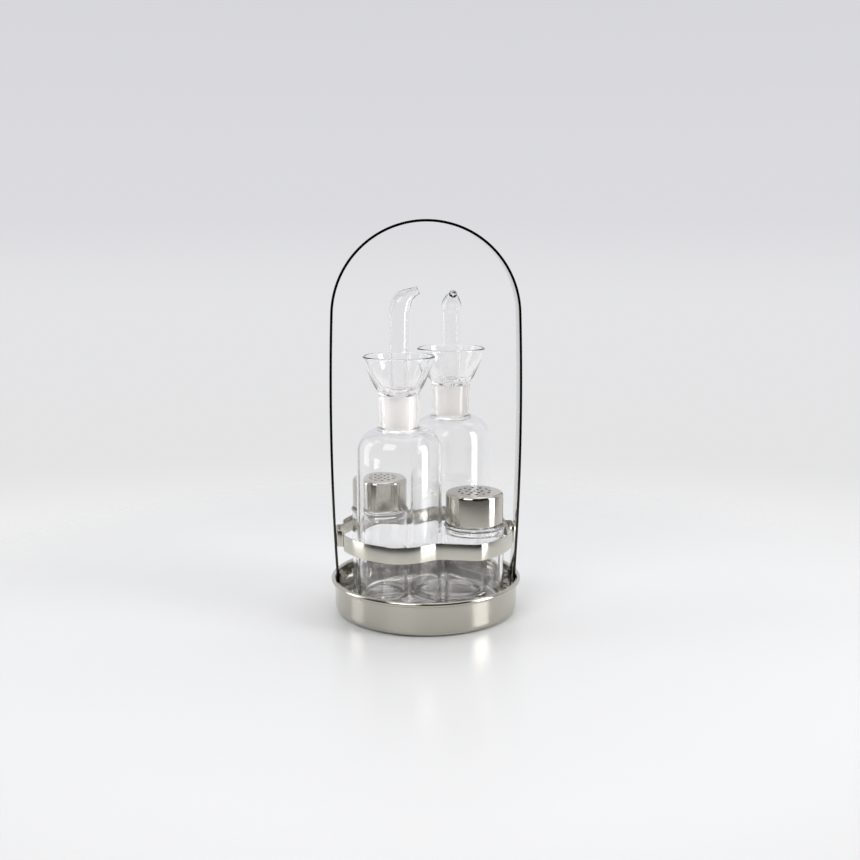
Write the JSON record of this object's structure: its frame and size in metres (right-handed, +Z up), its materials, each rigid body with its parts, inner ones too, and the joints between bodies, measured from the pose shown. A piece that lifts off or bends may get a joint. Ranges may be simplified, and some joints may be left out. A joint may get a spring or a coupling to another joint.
{
  "type": "cruet set",
  "caption": "Round steel stand with a fixed arch handle and a band that holds glass oil and vinegar cruets with funnel stoppers and glass shakers with steel caps.",
  "frame": {"origin": "centre of the tray's underside, on the table", "axes": "+Z up, X along the handle, -Y to the front, where the oil cruet stands on the left"},
  "size_m": [0.136, 0.136, 0.2763],
  "materials": {
    "tray_steel": "drawn sheet, satin",
    "handle_steel": "flat strip, polished",
    "band_steel": "flat strip, satin",
    "cap_steel": "drawn sheet, satin",
    "bottle_glass": "clear, ground inside the neck",
    "stopper_glass": "clear, ground plug",
    "jar_glass": "clear",
    "liner_plastic": "natural polypropylene"
  },
  "bodies": {
    "stand": {"tray": "tray_steel", "handle": "handle_steel", "front_band": "band_steel", "rear_band": "band_steel"},
    "oil_bottle": {"oil_bottle": "bottle_glass"},
    "oil_stopper": {"oil_stopper": "stopper_glass"},
    "vinegar_bottle": {"vinegar_bottle": "bottle_glass"},
    "vinegar_stopper": {"vinegar_stopper": "stopper_glass"},
    "salt_jar": {"salt_jar": "jar_glass"},
    "salt_cap": {"salt_cap": "cap_steel", "salt_cap_liner": "liner_plastic"},
    "pepper_jar": {"pepper_jar": "jar_glass"},
    "pepper_cap": {"pepper_cap": "cap_steel", "pepper_cap_liner": "liner_plastic"}
  },
  "joints": [
    {"name": "oil_bottle_lift", "type": "slide", "parent": "stand", "child": "oil_bottle", "axis": [0, 0, 1], "range_m": [0, 0.06]},
    {"name": "oil_stopper_lift", "type": "slide", "parent": "oil_bottle", "child": "oil_stopper", "axis": [0, 0, 1], "range_m": [0, 0.066]},
    {"name": "vinegar_bottle_lift", "type": "slide", "parent": "stand", "child": "vinegar_bottle", "axis": [0, 0, 1], "range_m": [0, 0.06]},
    {"name": "vinegar_stopper_lift", "type": "slide", "parent": "vinegar_bottle", "child": "vinegar_stopper", "axis": [0, 0, 1], "range_m": [0, 0.066]},
    {"name": "salt_jar_lift", "type": "slide", "parent": "stand", "child": "salt_jar", "axis": [0, 0, 1], "range_m": [0, 0.06]},
    {"name": "salt_cap_lift", "type": "slide", "parent": "salt_jar", "child": "salt_cap", "axis": [0, 0, 1], "range_m": [0, 0.022]},
    {"name": "pepper_jar_lift", "type": "slide", "parent": "stand", "child": "pepper_jar", "axis": [0, 0, 1], "range_m": [0, 0.06]},
    {"name": "pepper_cap_lift", "type": "slide", "parent": "pepper_jar", "child": "pepper_cap", "axis": [0, 0, 1], "range_m": [0, 0.022]}
  ]
}
